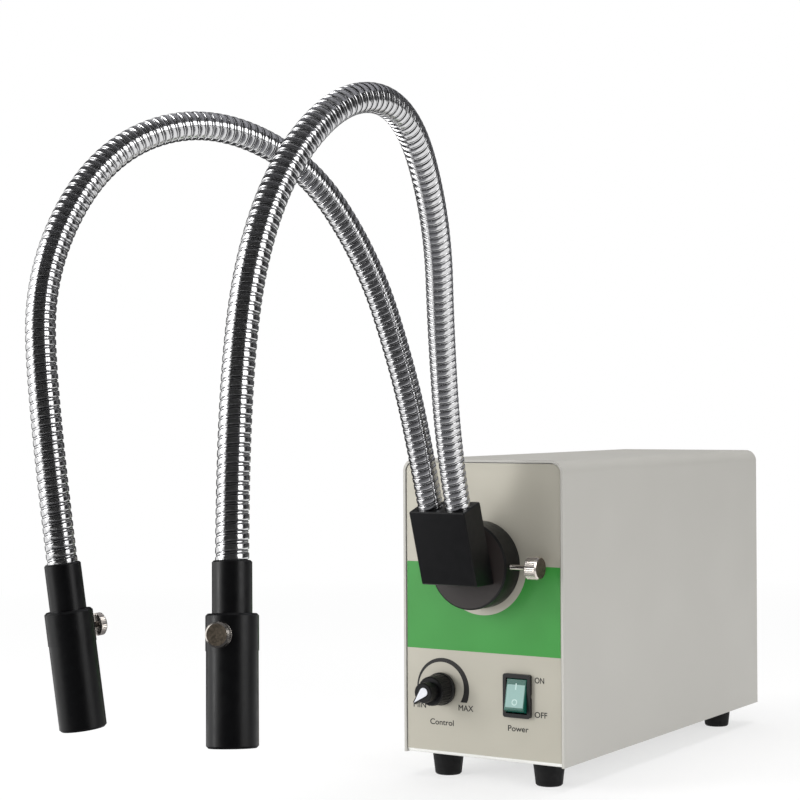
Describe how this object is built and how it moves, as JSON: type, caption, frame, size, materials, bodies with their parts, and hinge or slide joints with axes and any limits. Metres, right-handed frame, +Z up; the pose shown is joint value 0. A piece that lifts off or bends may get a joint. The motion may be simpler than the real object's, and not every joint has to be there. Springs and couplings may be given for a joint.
{
  "type": "fibre optic illuminator",
  "caption": "Box-shaped cold light source with a lamp, fan and dimmer knob, whose clamped light guide splits into bendable goosenecks with focusing lens heads.",
  "frame": {"origin": "middle of the case's footprint, on the bench under the feet", "axes": "+X to the right of someone facing the front panel, +Y from the front panel to the back, +Z up"},
  "size_m": [0.1328, 0.5066, 0.3062],
  "materials": {
    "cover_paint": "cream fine-textured powder coat",
    "chassis_paint": "cream powder coat",
    "label_plate": "satin, printed with a green band",
    "black_anodised": "satin black anodised",
    "plated_steel": "bright nickel plated",
    "screw_steel": "zinc plated",
    "hose_steel": "bright stainless, spiral wound",
    "ferrule_chrome": "polished",
    "feet_rubber": "matte",
    "knob_plastic": "satin",
    "pointer_plastic": "matte",
    "black_plastic": "matte",
    "rocker_plastic": "translucent teal",
    "lens_glass": "polished",
    "heat_glass": "polished",
    "fibre_glass": "polished bundle face",
    "reflector": "dichroic coating",
    "ceramic": "unglazed ceramic",
    "galvanised": "galvanised sheet",
    "core_iron": "varnished laminations",
    "coil_tape": "yellow winding tape",
    "board_green": "solder mask",
    "sink_black": "black anodised",
    "component_blue": "sleeved",
    "nickel_pin": "nickel plated"
  },
  "bodies": {
    "case": {"chassis": "chassis_paint", "top_cover": "cover_paint", "cover_screws": "screw_steel", "front_label": "label_plate", "rubber_feet": "feet_rubber", "foot_screws": "screw_steel", "port_collar": "black_anodised", "port_nut": "screw_steel", "heat_glass": "heat_glass", "heat_glass_holder": "galvanised", "lamp_reflector": "reflector", "lamp_bulb": "lens_glass", "lamp_socket": "ceramic", "lamp_bracket": "galvanised", "transformer_core": "core_iron", "transformer_coil": "coil_tape", "transformer_frame": "galvanised", "dimmer_board": "board_green", "board_standoffs": "pointer_plastic", "heat_sink": "sink_black", "board_components": "component_blue", "potentiometer_body": "galvanised", "potentiometer_nut": "screw_steel", "switch_bezel": "black_plastic", "switch_terminals": "nickel_pin", "fan_frame": "black_plastic", "fan_guard": "plated_steel", "fan_screws": "screw_steel", "inlet_housing": "black_plastic", "inlet_pins": "nickel_pin"},
    "knob": {"knob_body": "knob_plastic", "knob_pointer": "pointer_plastic", "potentiometer_shaft": "plated_steel"},
    "rocker": {"switch_rocker": "rocker_plastic"},
    "fan": {"fan_rotor": "black_plastic"},
    "fuse_drawer": {"fuse_drawer": "black_plastic"},
    "port_screw": {"port_screw_stud": "plated_steel"},
    "port_screw_grip": {"port_screw_head": "plated_steel"},
    "guide": {"guide_block": "black_anodised", "guide_ferrule": "ferrule_chrome", "input_fibres": "fibre_glass", "neck_roots": "hose_steel"},
    "left_rise": {"left_neck_rise": "hose_steel"},
    "left_drop": {"left_neck_drop": "hose_steel"},
    "left_tip": {"left_neck_tip": "hose_steel", "left_end_ferrule": "black_anodised"},
    "left_head": {"left_lens_barrel": "black_anodised", "left_lens": "lens_glass", "left_lens_ring": "black_anodised"},
    "left_screw": {"left_lens_screw_stud": "plated_steel"},
    "left_screw_grip": {"left_lens_screw_head": "plated_steel"},
    "right_rise": {"right_neck_rise": "hose_steel"},
    "right_drop": {"right_neck_drop": "hose_steel"},
    "right_tip": {"right_neck_tip": "hose_steel", "right_end_ferrule": "black_anodised"},
    "right_head": {"right_lens_barrel": "black_anodised", "right_lens": "lens_glass", "right_lens_ring": "black_anodised"},
    "right_screw": {"right_lens_screw_stud": "plated_steel"},
    "right_screw_grip": {"right_lens_screw_head": "plated_steel"}
  },
  "joints": [
    {"name": "intensity_knob", "type": "hinge", "parent": "case", "child": "knob", "pos_m": [-0.0221, -0.1164, 0.0438], "axis": [0, 1, 0], "range_deg": [0, 270]},
    {"name": "power_rocker", "type": "hinge", "parent": "case", "child": "rocker", "pos_m": [0.0195, -0.1159, 0.0435], "axis": [1, 0, 0], "range_deg": [0, 26]},
    {"name": "fan_spin", "type": "hinge", "parent": "case", "child": "fan", "pos_m": [0, 0.0993, 0.1047], "axis": [0, 1, 0], "continuous": true},
    {"name": "fuse_drawer_slide", "type": "slide", "parent": "case", "child": "fuse_drawer", "axis": [0, 1, 0], "range_m": [0, 0.012]},
    {"name": "port_screw_travel", "type": "slide", "parent": "case", "child": "port_screw", "axis": [1, 0, 0], "range_m": [0, 0.00075]},
    {"name": "port_screw_turn", "type": "hinge", "parent": "port_screw", "child": "port_screw_grip", "pos_m": [0.03, -0.1247, 0.1047], "axis": [1, 0, 0], "range_deg": [0, 540]},
    {"name": "guide_swivel", "type": "hinge", "parent": "case", "child": "guide", "pos_m": [0, -0.1299, 0.1047], "axis": [0, 1, 0], "range_deg": [-15, 15]},
    {"name": "left_lower_bend", "type": "hinge", "parent": "guide", "child": "left_rise", "pos_m": [-0.00925, -0.1844, 0.22084], "axis": [0.9798, -0.2, 0], "range_deg": [-20, 12]},
    {"name": "left_crown_swing", "type": "hinge", "parent": "left_rise", "child": "left_drop", "pos_m": [-0.03175, -0.2524, 0.29459], "axis": [0, 0, 1], "range_deg": [-20, 20]},
    {"name": "left_tip_bend", "type": "hinge", "parent": "left_drop", "child": "left_tip", "pos_m": [-0.0645, -0.3479, 0.20859], "axis": [0.9798, -0.2, 0], "range_deg": [-25, 25]},
    {"name": "left_focus", "type": "slide", "parent": "left_tip", "child": "left_head", "axis": [0.114, 0.0536, -0.992], "range_m": [-0.012, 0.005]},
    {"name": "left_lens_screw_travel", "type": "slide", "parent": "left_head", "child": "left_screw", "axis": [0.2837, 0.9552, 0.0842], "range_m": [0, 0.00075]},
    {"name": "left_lens_screw_turn", "type": "hinge", "parent": "left_screw", "child": "left_screw_grip", "pos_m": [-0.04831, -0.33524, 0.09462], "axis": [0.2837, 0.9552, 0.0842], "range_deg": [0, 540]},
    {"name": "right_lower_bend", "type": "hinge", "parent": "guide", "child": "right_rise", "pos_m": [0.02725, -0.1979, 0.23459], "axis": [0.9823, 0.1871, 0], "range_deg": [-20, 12]},
    {"name": "right_crown_swing", "type": "hinge", "parent": "right_rise", "child": "right_drop", "pos_m": [0.04975, -0.2829, 0.30009], "axis": [0, 0, 1], "range_deg": [-20, 20]},
    {"name": "right_tip_bend", "type": "hinge", "parent": "right_drop", "child": "right_tip", "pos_m": [0.04125, -0.3519, 0.22509], "axis": [0.9823, 0.1871, 0], "range_deg": [-25, 25]},
    {"name": "right_focus", "type": "slide", "parent": "right_tip", "child": "right_head", "axis": [0.0768, -0.1024, -0.9918], "range_m": [-0.012, 0.005]},
    {"name": "right_lens_screw_travel", "type": "slide", "parent": "right_head", "child": "right_screw", "axis": [0.2684, -0.9559, 0.1194], "range_m": [0, 0.00075]},
    {"name": "right_lens_screw_turn", "type": "hinge", "parent": "right_screw", "child": "right_screw_grip", "pos_m": [0.0515, -0.38226, 0.10151], "axis": [0.2684, -0.9559, 0.1194], "range_deg": [0, 540]}
  ],
  "couplings": [
    {"joint": "port_screw_turn", "follows": "port_screw_travel", "rad_per_m": 12566},
    {"joint": "left_lens_screw_turn", "follows": "left_lens_screw_travel", "rad_per_m": 12566},
    {"joint": "right_lens_screw_turn", "follows": "right_lens_screw_travel", "rad_per_m": 12566}
  ]
}
